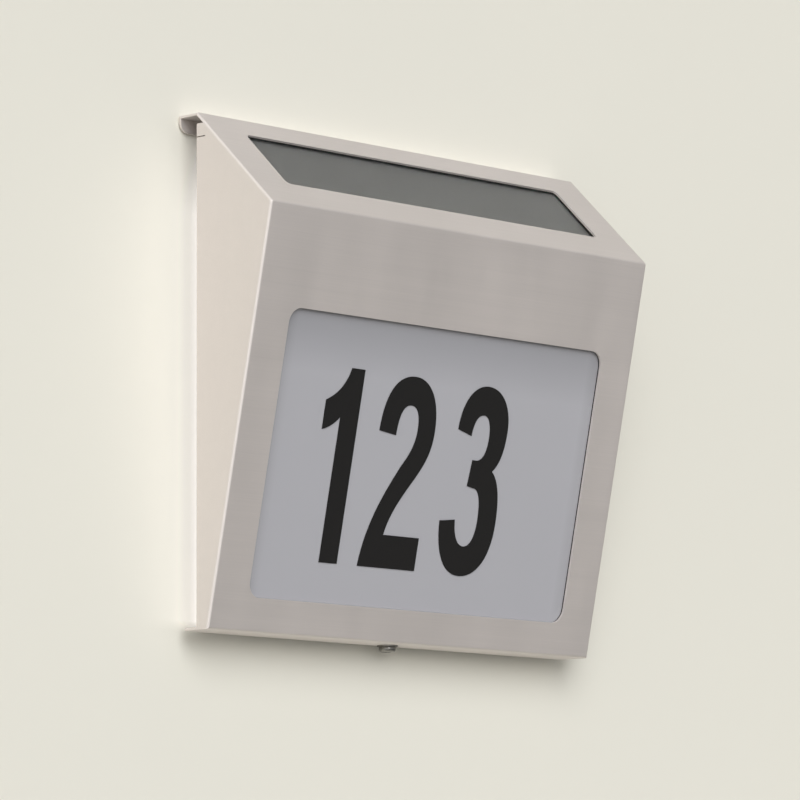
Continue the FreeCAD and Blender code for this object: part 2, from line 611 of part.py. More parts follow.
door = makeBody("battery_door")
leaf = makeSketch(door, "XZ", doorRear)
rectangle(leaf, *doorEdges)
extrude(door, leaf, "door_thick")
grips = makeSketch(door, "XZ", doorRear)
gripCount = 5
halfLow, halfHigh = "battery_z - cell_radius / 2", "battery_z + cell_radius / 2"
for i in range(gripCount):
    left = f"{doorEdges[0]} + door_lap + {i} * 2 * door_thick"
    rectangle(grips, left, halfLow, f"{left} + door_thick", halfHigh)
extrude(door, grips, "door_thick / 3", "Pocket", back=True)


def screws(name, spots, seat, radius, headRadius, headThick, length):
    """A row of pan head screws driven forward from the rear, their heads behind the seat's depth."""
    body = makeBody(name)
    heads = makeSketch(body, "XZ", f"{seat} - {headThick}")
    for x, z in spots:
        circle(heads, x, z, headRadius)
    extrude(body, heads, headThick)
    shanks = makeSketch(body, "XZ", f"{seat} - {headThick} / 2")
    for x, z in spots:
        circle(shanks, x, z, radius)
    extrude(body, shanks, f"{length} + {headThick} / 2")
    return body


coverSpots = [(f"{sign}({bossX})", level) for sign in ("-", "") for level in ("boss_high", "boss_low")]
screws("cover_screws", coverSpots, coverRear, "screw_radius", "(2 * screw_radius)", "(1.2 * screw_radius)",
       "cover_thick + cover_seal_thick + boss_length / 2")
screws("board_screw", pegSpots[:1], "main_depth", "screw_radius", "(2 * screw_radius)", "(1.2 * screw_radius)",
       "board_thick + boss_length / 3")

# ---- battery and its contacts ----
battery = makeBody("battery_cell")
can = makeSketch(battery, "YZ", "battery_x")
circle(can, "-battery_depth", "battery_z", "cell_radius")
extrude(battery, can, "cell_length - nub_length")
nub = makeSketch(battery, "YZ", f"{cellEnd} - 2 * nub_length")
circle(nub, "-battery_depth", "battery_z", "nub_radius")
extrude(battery, nub, "2 * nub_length")

positive = makeBody("contact_positive")
plus = makeSketch(positive, "YZ", cellEnd)
halfFront, halfRear = "-battery_depth - cell_radius / 2", "cell_radius / 2 - battery_depth"
rectangle(plus, halfFront, halfLow, halfRear, "wire_level - 4 * wire_radius")
extrude(positive, plus, "contact_thick")

negative = makeBody("contact_negative")
minus = makeSketch(negative, "YZ", negativeFace)
rectangle(minus, halfFront, halfLow, halfRear, "wire_level")
extrude(negative, minus, "contact_thick")
leafSpring = makeSketch(negative, "XZ", "battery_depth - cell_radius / 3")
springRoot = f"{negativeFace} + contact_thick"
polygon(leafSpring, [(springRoot, halfLow), ("battery_x", "battery_z"), (springRoot, halfHigh),
                     (springRoot, f"{halfHigh} - contact_thick"), ("battery_x - contact_thick", "battery_z"),
                     (springRoot, f"{halfLow} + contact_thick")])
extrude(negative, leafSpring, "cell_radius * 2 / 3")

# Holes for the wires: one through the box's floor to the led strip, one through its roof to the solar module.
ports = makeSketch(box, "XY", "battery_z")
circle(ports, "wire_x", "-wire_depth", "wire_port")
extrude(box, ports, "height / 2", "Pocket", symmetric=True)

# ---- main board and what is soldered to it ----
main = makeBody("main_board")
panel = makeSketch(main, "XZ", "main_depth")
rectangle(panel, "main_left", "main_low", "main_right", "main_high")
circle(panel, *pegSpots[0], "screw_radius + hole_play")
extrude(main, panel, "board_thick")

chip = makeBody("controller_chip")
package = makeSketch(chip, "XZ", "main_depth - chip_thick")
rectangle(package, "switch_x - chip_size / 2", "battery_z - chip_size / 2", "switch_x + chip_size / 2",
          "battery_z + chip_size / 2")
extrude(chip, package, "chip_thick")

coil = makeBody("boost_inductor")
core = makeSketch(coil, "XZ", pegDepth)
circle(core, "switch_x + 2 * coil_radius", "battery_z", "coil_radius")
extrude(coil, core, "coil_thick")

capacitor = makeBody("buffer_capacitor")
sleeve = makeSketch(capacitor, "XZ", pegDepth)
circle(sleeve, "switch_x - 2 * can_radius", "battery_z", "can_radius")
extrude(capacitor, sleeve, "can_length")

resistors = makeBody("resistors")
chips = makeSketch(resistors, "XZ", "main_depth - resistor_thick")
resistorCount = 5
for i in range(resistorCount):
    left = f"switch_x - chip_size - {i - 1} * resistor_pitch / 2"
    low = f"battery_z - chip_size - {i} * resistor_pitch / 2"
    rectangle(chips, left, low, f"{left} + resistor_length", f"{low} + resistor_width")
extrude(resistors, chips, "resistor_thick")

# ---- slide switch: its body is soldered to the board, and its slider comes through the cover ----
switchBody = makeBody("switch_body")
case = makeSketch(switchBody, "XZ", "main_depth - switch_body_thick")
rectangle(case, "switch_x - switch_width / 2", "switch_z - switch_height / 2", "switch_x + switch_width / 2",
          "switch_z + switch_height / 2")
extrude(switchBody, case, "switch_body_thick")
track = makeSketch(switchBody, "XZ", "main_depth - switch_body_thick")
rectangle(track, f"switch_x - {sliderRun}", "switch_z - slider_height / 2 - slider_play",
          f"switch_x + {sliderRun}", "switch_z + slider_height / 2 + slider_play")
extrude(switchBody, track, "switch_body_thick / 2", "Pocket", back=True)

slider = makeBody("switch_slider")
stem = makeSketch(slider, "XZ", f"{coverRear} - slider_proud")
rectangle(stem, "switch_x - (slider_width + switch_travel) / 2", "switch_z - slider_height / 2",
          "switch_x + (slider_width - switch_travel) / 2", "switch_z + slider_height / 2")
extrude(slider, stem, f"main_depth - switch_body_thick / 2 - slider_play - {coverRear} + slider_proud")

# ---- led strip under the box's floor, its leds facing down into the light chamber ----
strip = makeBody("led_board")
stripOutline = makeSketch(strip, "XY", "box_floor - strip_thick")
rounded(stripOutline, "-strip_half", "-strip_front", "strip_half", "-strip_rear", "solar_radius")
extrude(strip, stripOutline, "strip_thick")
ledCount = 4
leds = makeBody("leds")
lamps = makeSketch(leds, "XY", "box_floor - strip_thick - led_thick")
for i in range(ledCount):
    middle = f"{i - (ledCount - 1) / 2} * led_pitch"
    rectangle(lamps, f"{middle} - led_size / 2", "-(strip_front + strip_rear) / 2 - led_size / 2",
              f"{middle} + led_size / 2", "led_size / 2 - (strip_front + strip_rear) / 2")
extrude(leds, lamps, "led_thick")


# ---- wires inside the box, in straight runs with round bends ----
def bentPath(points, radius):
    """Straight runs through the points, with an arc of the radius at each inner point."""
    edges, start = [], points[0]
    for before, corner, after in zip(points, points[1:], points[2:]):
        back = (before - corner).normalize()
        ahead = (after - corner).normalize()
        reach = radius / math.tan(back.getAngle(ahead) / 2)
        first, last = corner + back * reach, corner + ahead * reach
        inward = (back + ahead).normalize()
        middle = corner + inward * (radius / math.sin(back.getAngle(ahead) / 2) - radius)
        edges += [Part.LineSegment(start, first).toShape(), Part.Arc(first, middle, last).toShape()]
        start = last
    edges.append(Part.LineSegment(start, points[-1]).toShape())
    return Part.Wire(edges)


def hexRing(centre, along, radius):
    """A six-sided section, square to the wire."""
    side = along.cross(Vector(1, 1, 1)).normalize()
    turn = Rotation(along, 60)
    corners = [centre + side * radius]
    for _ in range(5):
        side = turn.multVec(side)
        corners.append(centre + side * radius)
    return Part.makePolygon(corners + corners[:1])


def wires(name, routes):
    """One solid for each route, with a six-sided section along its path."""
    solids = []
    for route in routes:
        points = [Vector(*[value(text) for text in point]) for point in route]
        path = bentPath(points, value("wire_bend"))
        section = hexRing(points[0], points[1] - points[0], value("wire_radius"))
        solids.append(path.makePipeShell([section], True, False))
    feature = doc.addObject("Part::Feature", name)
    feature.Label = name
    feature.Shape = Part.Compound(solids)
    nodes[name] = feature


boardFront = f"-({pegDepth})"
wireXs = ["wire_x - wire_pitch / 2", "wire_x + wire_pitch / 2"]
ledJoint, solarJoint = "battery_z - 2 * wire_bend", "battery_z + 3 * wire_bend"
solarEnd = underTop("(wire_depth + wire_radius)", stack)
wires("led_leads", [[(x, boardFront, ledJoint), (x, "-wire_depth", ledJoint), (x, "-wire_depth", "box_floor")]
                    for x in wireXs])
wires("solar_leads", [[(x, boardFront, solarJoint), (x, "-wire_depth", solarJoint), (x, "-wire_depth", solarEnd)]
                      for x in wireXs])
wires("battery_leads", [
    [(springRoot, "-wire_depth + wire_radius", "wire_level - wire_radius"),
     ("main_left + 2 * wire_bend + wire_pitch", "-wire_depth + wire_radius", "wire_level - wire_radius"),
     ("main_left + 2 * wire_bend + wire_pitch", boardFront, "wire_level - wire_radius")],
    [(f"{cellEnd} + contact_thick", "-wire_depth + wire_radius", "wire_level - 5 * wire_radius"),
     ("main_left + 2 * wire_bend", "-wire_depth + wire_radius", "wire_level - 5 * wire_radius"),
     ("main_left + 2 * wire_bend", boardFront, "wire_level - 5 * wire_radius")]])

# ---- check every object, then write one file for each piece ----
doc.recompute()
for thing in doc.Objects:
    if "Invalid" in thing.State or "Error" in thing.State:
        raise RuntimeError(thing.Name + " failed: " + str(thing.State))
for name, thing in nodes.items():
    if thing.Shape.isNull() or not thing.Shape.isValid():
        raise RuntimeError(name + " has no valid shape")
os.makedirs("parts", exist_ok=True)
for name, thing in nodes.items():
    thing.Shape.exportStep(os.path.join("parts", name + ".step"))
    print(name, len(thing.Shape.Solids), round(thing.Shape.Volume, 1))
print(len(nodes), "nodes")
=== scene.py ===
import json
import math

import bmesh
import bpy
from mathutils import Matrix, Vector


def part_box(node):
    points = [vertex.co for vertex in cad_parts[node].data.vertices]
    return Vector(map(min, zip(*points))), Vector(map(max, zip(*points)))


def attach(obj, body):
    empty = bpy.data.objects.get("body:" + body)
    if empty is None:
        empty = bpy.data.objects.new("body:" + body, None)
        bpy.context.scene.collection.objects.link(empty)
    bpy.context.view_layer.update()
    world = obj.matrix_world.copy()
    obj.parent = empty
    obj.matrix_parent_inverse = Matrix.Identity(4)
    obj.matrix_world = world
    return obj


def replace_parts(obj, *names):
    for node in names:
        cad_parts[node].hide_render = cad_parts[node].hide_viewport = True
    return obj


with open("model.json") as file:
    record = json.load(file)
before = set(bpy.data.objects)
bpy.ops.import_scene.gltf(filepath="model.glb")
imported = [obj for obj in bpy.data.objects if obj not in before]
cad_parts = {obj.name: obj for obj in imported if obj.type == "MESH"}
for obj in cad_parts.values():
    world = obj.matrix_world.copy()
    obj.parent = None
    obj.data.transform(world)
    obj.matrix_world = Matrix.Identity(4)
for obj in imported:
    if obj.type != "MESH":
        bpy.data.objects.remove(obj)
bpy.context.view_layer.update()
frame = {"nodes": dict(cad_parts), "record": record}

nodes = frame["nodes"]
millimetre = 0.001
print("frame loaded:", len(nodes), "nodes")


# small helpers for shader nodes
def linear(red, green, blue):
    # eight-bit screen colour to the shader's linear colour
    parts = []
    for part in (red, green, blue):
        part = part / 255
        parts.append(part / 12.92 if part <= 0.04045 else ((part + 0.055) / 1.055) ** 2.4)
    return (*parts, 1.0)


def addNode(tree, kind, **values):
    # a new node, with its inputs and settings given by name
    node = tree.nodes.new(kind)
    for name, value in values.items():
        if name in node.inputs:
            node.inputs[name].default_value = value
        else:
            setattr(node, name, value)
    return node


def setInputs(node, values):
    for name, value in values.items():
        node.inputs[name].default_value = value


def newGroup(name, inputs, outputs):
    group = bpy.data.node_groups.new(name, "ShaderNodeTree")
    for label, kind, value in inputs:
        socket = group.interface.new_socket(name=label, in_out="INPUT", socket_type=kind)
        socket.default_value = value
    for label, kind in outputs:
        group.interface.new_socket(name=label, in_out="OUTPUT", socket_type=kind)
    return group, group.nodes.new("NodeGroupInput"), group.nodes.new("NodeGroupOutput")


def calculated(tree, operation, first, second=None, clamp=False):
    # one Math node on sockets or plain numbers
    node = addNode(tree, "ShaderNodeMath", operation=operation, use_clamp=clamp)
    for index, value in enumerate((first, second)):
        if isinstance(value, (int, float)):
            node.inputs[index].default_value = value
        elif value is not None:
            tree.links.new(value, node.inputs[index])
    return node.outputs[0]


def plus(tree, first, second, clamp=False):
    return calculated(tree, "ADD", first, second, clamp)


def minus(tree, first, second):
    return calculated(tree, "SUBTRACT", first, second)


def times(tree, first, second, clamp=False):
    return calculated(tree, "MULTIPLY", first, second, clamp)


def portion(tree, length, whole):
    # how much of a whole a length is, held between 0 and 1
    return calculated(tree, "DIVIDE", length, whole, clamp=True)


def separated(tree, vector):
    node = addNode(tree, "ShaderNodeSeparateXYZ")
    tree.links.new(vector, node.inputs[0])
    return node.outputs


def stretched(tree, vector, scale, turn=(0, 0, 0)):
    node = addNode(tree, "ShaderNodeMapping", Scale=scale, Rotation=turn)
    tree.links.new(vector, node.inputs["Vector"])
    return node.outputs["Vector"]


def noise(tree, vector, scale, detail=3.0, roughness=0.55):
    node = addNode(tree, "ShaderNodeTexNoise", Scale=scale, Detail=detail, Roughness=roughness)
    tree.links.new(vector, node.inputs["Vector"])
    return node.outputs["Fac"]


def centred(tree, noiseLevel):
    # noise from 0 to 1, moved so that it lies about zero
    return minus(tree, noiseLevel, 0.5)


def shaded(tree, colour, level):
    # a colour times a level
    node = addNode(tree, "ShaderNodeVectorMath", operation="SCALE")
    if isinstance(colour, tuple):
        node.inputs[0].default_value = colour[:3]
    else:
        tree.links.new(colour, node.inputs[0])
    tree.links.new(level, node.inputs["Scale"])
    return node.outputs[0]


surfaceInputs = [
    ("Vector", "NodeSocketVector", (0, 0, 0)),
    ("Colour", "NodeSocketColor", (1, 1, 1, 1)),
    ("Roughness", "NodeSocketFloat", 0.5),
]
surfaceOutputs = [
    ("Colour", "NodeSocketColor"),
    ("Roughness", "NodeSocketFloat"),
    ("Height", "NodeSocketFloat"),
]

# scales are along X, Y and Z; a share is how much of the pattern is the finer one
brushing = {"fineScale": (18, 2600, 2600), "broadScale": (6, 320, 320), "fineShare": 0.65,
            "cloudScale": 14.0, "wipeScale": (60, 60, 7), "wipeDepth": 0.16, "roughShift": 0.9}


def makeBrushing():
    # fine lines along X with slow clouds and a few wiped streaks, as on brushed sheet
    group, start, end = newGroup(
        "brushedLines",
        surfaceInputs + [("Contrast", "NodeSocketFloat", 0.1), ("Cloud", "NodeSocketFloat", 0.05)],
        surfaceOutputs)
    vector = start.outputs["Vector"]
    fine = noise(group, stretched(group, vector, brushing["fineScale"]), scale=1.0, detail=2.0)
    broad = noise(group, stretched(group, vector, brushing["broadScale"]), scale=1.0, detail=2.0)
    clouds = noise(group, vector, brushing["cloudScale"])
    wipes = noise(group, stretched(group, vector, brushing["wipeScale"]), scale=1.0, detail=4.0)
    lines = plus(group, times(group, fine, brushing["fineShare"]),
                 times(group, broad, 1 - brushing["fineShare"]))
    cloudy = times(group, centred(group, clouds), start.outputs["Cloud"])
    shade = plus(group, times(group, centred(group, lines), start.outputs["Contrast"]), cloudy)
    wiped = times(group, centred(group, wipes), brushing["wipeDepth"])
    rough = plus(group, start.outputs["Roughness"], times(group, shade, brushing["roughShift"]))
    colour = shaded(group, start.outputs["Colour"], plus(group, shade, 1.0))
    group.links.new(colour, end.inputs["Colour"])
    group.links.new(plus(group, rough, wiped, clamp=True), end.inputs["Roughness"])
    group.links.new(lines, end.inputs["Height"])
    return group


speckling = {"fineShare": 0.7, "slowScale": 22.0, "roughShift": 0.8}


def makeSpeckle():
    # moulded grain, foam or solder mask: fine speckle plus slow tone change
    group, start, end = newGroup(
        "fineSpeckle",
        surfaceInputs + [("Grain", "NodeSocketFloat", 900.0), ("Contrast", "NodeSocketFloat", 0.15)],
        surfaceOutputs)
    vector = start.outputs["Vector"]
    fine = addNode(group, "ShaderNodeTexNoise", Detail=3.0)
    group.links.new(vector, fine.inputs["Vector"])
    group.links.new(start.outputs["Grain"], fine.inputs["Scale"])
    slow = noise(group, vector, speckling["slowScale"], detail=2.0)
    both = plus(group, times(group, fine.outputs["Fac"], speckling["fineShare"]),
                times(group, slow, 1 - speckling["fineShare"]))
    shade = times(group, centred(group, both), start.outputs["Contrast"])
    colour = shaded(group, start.outputs["Colour"], plus(group, shade, 1.0))
    roughShade = times(group, shade, speckling["roughShift"])
    group.links.new(colour, end.inputs["Colour"])
    group.links.new(plus(group, start.outputs["Roughness"], roughShade, clamp=True), end.inputs["Roughness"])
    group.links.new(fine.outputs["Fac"], end.inputs["Height"])
    return group


tracks = {"runScale": 210.0, "runWidth": 0.035, "runSoftness": 0.2, "padScale": 330.0, "padSize": 0.16}


def makeTracks():
    # thin tracks and round pads under a solder mask, as a mask from 0 to 1
    group, start, end = newGroup(
        "boardTracks", [("Vector", "NodeSocketVector", (0, 0, 0))], [("Mask", "NodeSocketFloat")])
    parts = separated(group, start.outputs["Vector"])
    sheet = addNode(group, "ShaderNodeCombineXYZ")
    group.links.new(parts["X"], sheet.inputs["X"])
    group.links.new(plus(group, parts["Z"], parts["Y"]), sheet.inputs["Y"])
    runs = addNode(group, "ShaderNodeTexBrick", Scale=tracks["runScale"])
    setInputs(runs, {"Mortar Size": tracks["runWidth"], "Mortar Smooth": tracks["runSoftness"]})
    group.links.new(sheet.outputs[0], runs.inputs["Vector"])
    dots = addNode(group, "ShaderNodeTexVoronoi", Scale=tracks["padScale"])
    group.links.new(sheet.outputs[0], dots.inputs["Vector"])
    pads = calculated(group, "LESS_THAN", dots.outputs["Distance"], tracks["padSize"])
    group.links.new(calculated(group, "MAXIMUM", runs.outputs["Fac"], pads), end.inputs["Mask"])
    return group


brushedLines = makeBrushing()
fineSpeckle = makeSpeckle()
boardTracks = makeTracks()
print("shared effects ready")


def newMaterial(name):
    material = bpy.data.materials.new(name)
    material.use_nodes = True
    return material, material.node_tree, material.node_tree.nodes["Principled BSDF"]


def objectPlace(tree):
    return addNode(tree, "ShaderNodeTexCoord").outputs["Object"]


def bumpInto(tree, shader, height, strength, depth):
    bump = addNode(tree, "ShaderNodeBump", Strength=strength, Distance=depth)
    tree.links.new(height, bump.inputs["Height"])
    tree.links.new(bump.outputs["Normal"], shader.inputs["Normal"])


def placeGroup(tree, group, vector, **values):
    node = addNode(tree, "ShaderNodeGroup")
    node.node_tree = group
    setInputs(node, values)
    tree.links.new(vector, node.inputs["Vector"])
    return node


def brushedMetal(name, spec):
    material, tree, shader = newMaterial(name)
    shader.inputs["Metallic"].default_value = spec["metallic"]
    place = stretched(tree, objectPlace(tree), (1, 1, 1), spec.get("turn", (0, 0, 0)))
    group = placeGroup(tree, brushedLines, place, Colour=linear(*spec["colour"]), Roughness=spec["roughness"],
                       Contrast=spec["contrast"], Cloud=spec["cloud"])
    tree.links.new(group.outputs["Colour"], shader.inputs["Base Color"])
    tree.links.new(group.outputs["Roughness"], shader.inputs["Roughness"])
    bumpInto(tree, shader, group.outputs["Height"], strength=0.08, depth=0.04 * millimetre)
    return material


def speckled(name, spec):
    material, tree, shader = newMaterial(name)
    setInputs(shader, {"Coat Weight": spec.get("coat", 0.0), "Specular IOR Level": spec.get("specular", 0.5)})
    place = objectPlace(tree)
    group = placeGroup(tree, fineSpeckle, place, Colour=linear(*spec["colour"]), Roughness=spec["roughness"],
                       Grain=spec["grain"], Contrast=spec["contrast"])
    tree.links.new(group.outputs["Colour"], shader.inputs["Base Color"])
    tree.links.new(group.outputs["Roughness"], shader.inputs["Roughness"])
    bumpInto(tree, shader, group.outputs["Height"], spec["bump"], depth=0.05 * millimetre)
    return material, tree, shader, place, group


def plainSpeckled(name, spec):
    return speckled(name, spec)[0]


# colours as seen on screen, and how each finish behaves
metals = {
    "brushedSheet": {"colour": (234, 228, 225), "roughness": 0.66, "metallic": 0.88, "contrast": 0.1,
                     "cloud": 0.05},
    "bracketSheet": {"colour": (178, 177, 174), "roughness": 0.4, "metallic": 0.85, "contrast": 0.12,
                     "cloud": 0.14, "turn": (0, 0, 0.2)},
    "screwMetal": {"colour": (150, 148, 144), "roughness": 0.32, "metallic": 1.0, "contrast": 0.2,
                   "cloud": 0.2},
    "drawnCan": {"colour": (196, 196, 198), "roughness": 0.3, "metallic": 1.0, "contrast": 0.12,
                 "cloud": 0.06},
    "contactMetal": {"colour": (210, 206, 196), "roughness": 0.22, "metallic": 1.0, "contrast": 0.1,
                     "cloud": 0.08},
}
speckles = {
    "blackFoam": {"colour": (14, 13, 13), "roughness": 0.85, "grain": 1500.0, "contrast": 0.5, "bump": 0.5},
    "mouldedBox": {"colour": (30, 30, 32), "roughness": 0.55, "grain": 1400.0, "contrast": 0.3, "bump": 0.4},
    "mouldedPart": {"colour": (24, 24, 26), "roughness": 0.5, "grain": 2200.0, "contrast": 0.3, "bump": 0.3},
    "ledWindow": {"colour": (236, 214, 110), "roughness": 0.4, "grain": 800.0, "contrast": 0.2, "bump": 0.1},
    "wireJacket": {"colour": (150, 28, 24), "roughness": 0.45, "grain": 700.0, "contrast": 0.1,
                   "bump": 0.05},
    # grey cell film: partly the cells' own colour, partly a painted reflection that lightens it
    "cellFilmAndReflection": {"colour": (150, 150, 153), "roughness": 0.45, "grain": 260.0, "contrast": 0.1,
                 "bump": 0.03},
    "blackVinyl": {"colour": (33, 32, 32), "roughness": 0.62, "grain": 700.0, "contrast": 0.25, "bump": 0.1,
                   "specular": 0.2},
}


def solderMask():
    # green mask with the copper showing faintly through it
    spec = {"colour": (26, 84, 56), "roughness": 0.35, "grain": 500.0, "contrast": 0.15, "bump": 0.05,
            "coat": 0.3, "lift": 0.5, "trackBump": 0.3, "trackHeight": 0.03 * millimetre}
    material, tree, shader, place, group = speckled("solderMask", spec)
    mask = placeGroup(tree, boardTracks, place).outputs["Mask"]
    level = plus(tree, times(tree, mask, spec["lift"]), 1.0)
    tree.links.new(shaded(tree, group.outputs["Colour"], level), shader.inputs["Base Color"])
    bumpInto(tree, shader, mask, spec["trackBump"], spec["trackHeight"])
    return material


def batteryWrap():
    # plain green sleeve with a pale band round the positive end
    spec = {"colour": (48, 120, 84), "roughness": 0.3, "grain": 200.0, "contrast": 0.1, "bump": 0.03,
            "coat": 0.4, "band": 0.008, "bandColour": (214, 212, 204)}
    material, tree, shader, place, group = speckled("batteryWrap", spec)
    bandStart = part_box("battery_cell")[1][0] - spec["band"]
    inBand = calculated(tree, "GREATER_THAN", separated(tree, place)["X"], bandStart)
    mix = addNode(tree, "ShaderNodeMix", data_type="RGBA")
    tree.links.new(inBand, mix.inputs["Factor"])
    tree.links.new(group.outputs["Colour"], mix.inputs["A"])
    mix.inputs["B"].default_value = linear(*spec["bandColour"])
    tree.links.new(mix.outputs["Result"], shader.inputs["Base Color"])
    return material


def opalAcrylic():
    # milky sheet with painted shade towards the window's top and sides, where less light reaches it
    spec = {"colour": (183, 183, 189), "roughness": 0.42, "specular": 0.3,
            "halfWindow": 0.0828, "sideFade": 0.006, "sideShadeDepth": 0.14,
            "windowTop": 0.0207, "topFade": 0.02, "topShadeDepth": 0.26,
            "cloudScale": 16.0, "cloudDepth": 0.05,
            "rippleScale": 420.0, "rippleBump": 0.05, "rippleHeight": 0.03 * millimetre}
    material, tree, shader = newMaterial("opalAcrylic")
    place = objectPlace(tree)
    parts = separated(tree, place)
    fromSide = minus(tree, spec["halfWindow"], calculated(tree, "ABSOLUTE", parts["X"]))
    fromTop = minus(tree, spec["windowTop"], parts["Z"])
    nearSide = minus(tree, 1.0, portion(tree, fromSide, spec["sideFade"]))
    nearTop = minus(tree, 1.0, portion(tree, fromTop, spec["topFade"]))
    # painted shade: the colour is darkened near the window's top and sides
    dimming = plus(tree, times(tree, nearSide, -spec["sideShadeDepth"]), times(tree, nearTop, -spec["topShadeDepth"]))
    clouds = times(tree, centred(tree, noise(tree, place, spec["cloudScale"])), spec["cloudDepth"])
    level = plus(tree, plus(tree, 1.0, dimming), clouds)
    tree.links.new(shaded(tree, linear(*spec["colour"]), level), shader.inputs["Base Color"])
    setInputs(shader, {"Roughness": spec["roughness"], "Specular IOR Level": spec["specular"]})
    bumpInto(tree, shader, noise(tree, place, spec["rippleScale"]), spec["rippleBump"], spec["rippleHeight"])
    return material


def stippledGlass():
    # finely stippled cover glass, so the cells behind it look even
    spec = {"colour": (226, 230, 230), "roughness": 0.3, "bending": 1.5,
            "stippleScale": 900.0, "stippleBump": 0.15, "stippleHeight": 0.05 * millimetre}
    material, tree, shader = newMaterial("stippledGlass")
    setInputs(shader, {"Base Color": linear(*spec["colour"]), "Roughness": spec["roughness"],
                       "Transmission Weight": 1.0, "IOR": spec["bending"]})
    stipple = noise(tree, objectPlace(tree), spec["stippleScale"])
    bumpInto(tree, shader, stipple, spec["stippleBump"], spec["stippleHeight"])
    return material


materials = {
    "sheet_steel": brushedMetal("brushedSheet", metals["brushedSheet"]),
    "bracket_steel": brushedMetal("bracketSheet", metals["bracketSheet"]),
    "screw_steel": brushedMetal("screwMetal", metals["screwMetal"]),
    "opal": opalAcrylic(),
    "black_foam": plainSpeckled("blackFoam", speckles["blackFoam"]),
    "solar_glass": stippledGlass(),
    "solar_cell": plainSpeckled("cellFilmAndReflection", speckles["cellFilmAndReflection"]),
    "board_green": solderMask(),
    "box_black": plainSpeckled("mouldedBox", speckles["mouldedBox"]),
    "part_black": plainSpeckled("mouldedPart", speckles["mouldedPart"]),
    "can_metal": brushedMetal("drawnCan", metals["drawnCan"]),
    "battery_wrap": batteryWrap(),
    "contact_metal": brushedMetal("contactMetal", metals["contactMetal"]),
    "led_phosphor": plainSpeckled("ledWindow", speckles["ledWindow"]),
    "wire_red": plainSpeckled("wireJacket", speckles["wireJacket"]),
}
vinyl = plainSpeckled("blackVinyl", speckles["blackVinyl"])

for part in frame["record"]["subparts"]:
    mesh = nodes[part["node"]].data
    mesh.materials.clear()
    mesh.materials.append(materials[part["material_slot"]])


def addPiece(name, mesh, material, body):
    piece = bpy.data.objects.new(name, mesh)
    bpy.context.scene.collection.objects.link(piece)
    mesh.materials.clear()
    mesh.materials.append(material)
    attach(piece, body)
    return piece


def finalMesh(shaped):
    # the mesh that a curve, or an object with modifiers, comes to
    bpy.context.view_layer.update()
    return bpy.data.meshes.new_from_object(shaped.evaluated_get(bpy.context.evaluated_depsgraph_get()))


# stick-on digits in outlines drawn for this sign, in millimetres on the front sheet:
# x from its left edge and y down from the fold, a corner as two numbers, a curve as six
panel = {"foldY": -0.046, "foldZ": 0.0549, "footY": -0.0152, "footZ": -0.09, "left": -0.1}
digits = {"faceInset": 1.4 * millimetre, "thick": 0.28 * millimetre, "rounding": 0.06 * millimetre,
          "curveSteps": 14}
digitOutlines = {
    "digitOne": [
        (53.2, 53.2), (59.8, 53.2), (59.8, 121.9), (50.8, 121.9), (50.8, 70.5),
        (48.5, 73.0, 45.5, 74.8, 42.5, 75.5), (42.5, 65.2), (48.0, 63.0, 52.0, 58.5, 53.2, 53.2)],
    "digitTwo": [
        (71.6, 73.5), (71.8, 60.5, 77.0, 53.2, 86.0, 53.2), (95.0, 53.2, 100.0, 61.0, 100.0, 71.5),
        (100.0, 79.0, 97.5, 83.5, 92.5, 90.0), (87.5, 96.5, 82.8, 102.5, 81.2, 110.2), (100.0, 110.2),
        (100.0, 121.9), (70.4, 121.9), (71.5, 107.5, 78.0, 96.5, 85.2, 85.5),
        (89.3, 80.3, 91.2, 76.5, 91.2, 71.5), (91.2, 66.3, 89.5, 63.4, 86.0, 63.4),
        (82.0, 63.4, 80.4, 67.5, 80.2, 74.5)],
    "digitThree": [
        (112.3, 69.6), (112.5, 60.0, 117.5, 53.2, 125.0, 53.2), (133.5, 53.2, 138.5, 60.0, 138.5, 68.5),
        (138.5, 75.0, 137.0, 80.5, 133.3, 83.5), (137.8, 86.5, 139.3, 94.0, 139.3, 102.0),
        (139.3, 114.5, 133.0, 122.2, 123.8, 122.2), (115.0, 122.2, 110.2, 114.5, 109.6, 103.0),
        (117.4, 102.2), (118.0, 108.0, 120.3, 111.5, 124.0, 111.5),
        (127.8, 111.5, 129.6, 107.0, 129.6, 101.5), (129.6, 94.5, 128.0, 90.4, 125.0, 90.2),
        (121.3, 89.6), (122.2, 80.2), (124.5, 80.2),
        (127.6, 80.0, 129.3, 76.5, 129.3, 71.8), (129.3, 66.5, 127.6, 63.6, 125.0, 63.6),
        (121.4, 63.6, 119.9, 67.0, 119.6, 71.5)],
}


def onPanel(x, y):
    return Vector((x, -y, 0)) * millimetre


def digitCurve(name, outline):
    curve = bpy.data.curves.new(name, "CURVE")
    curve.dimensions = "2D"
    curve.fill_mode = "BOTH"
    curve.resolution_u = digits["curveSteps"]
    curve.extrude = digits["thick"] / 2 - digits["rounding"]
    curve.bevel_depth = digits["rounding"]
    curve.bevel_resolution = 1
    spots = [onPanel(*entry[-2:]) for entry in outline]
    if spots[-1] == spots[0]:
        spots.pop()  # the last curve already ends on the first corner
    spline = curve.splines.new("BEZIER")
    spline.bezier_points.add(len(spots) - 1)
    spline.use_cyclic_u = True
    for point, spot in zip(spline.bezier_points, spots):
        point.co = spot
        point.handle_left_type = point.handle_right_type = "FREE"
        point.handle_left = point.handle_right = spot
    for index, entry in enumerate(outline):
        if len(entry) == 6:
            spline.bezier_points[index - 1].handle_right = onPanel(*entry[:2])
            spline.bezier_points[index % len(spots)].handle_left = onPanel(*entry[2:4])
    return curve


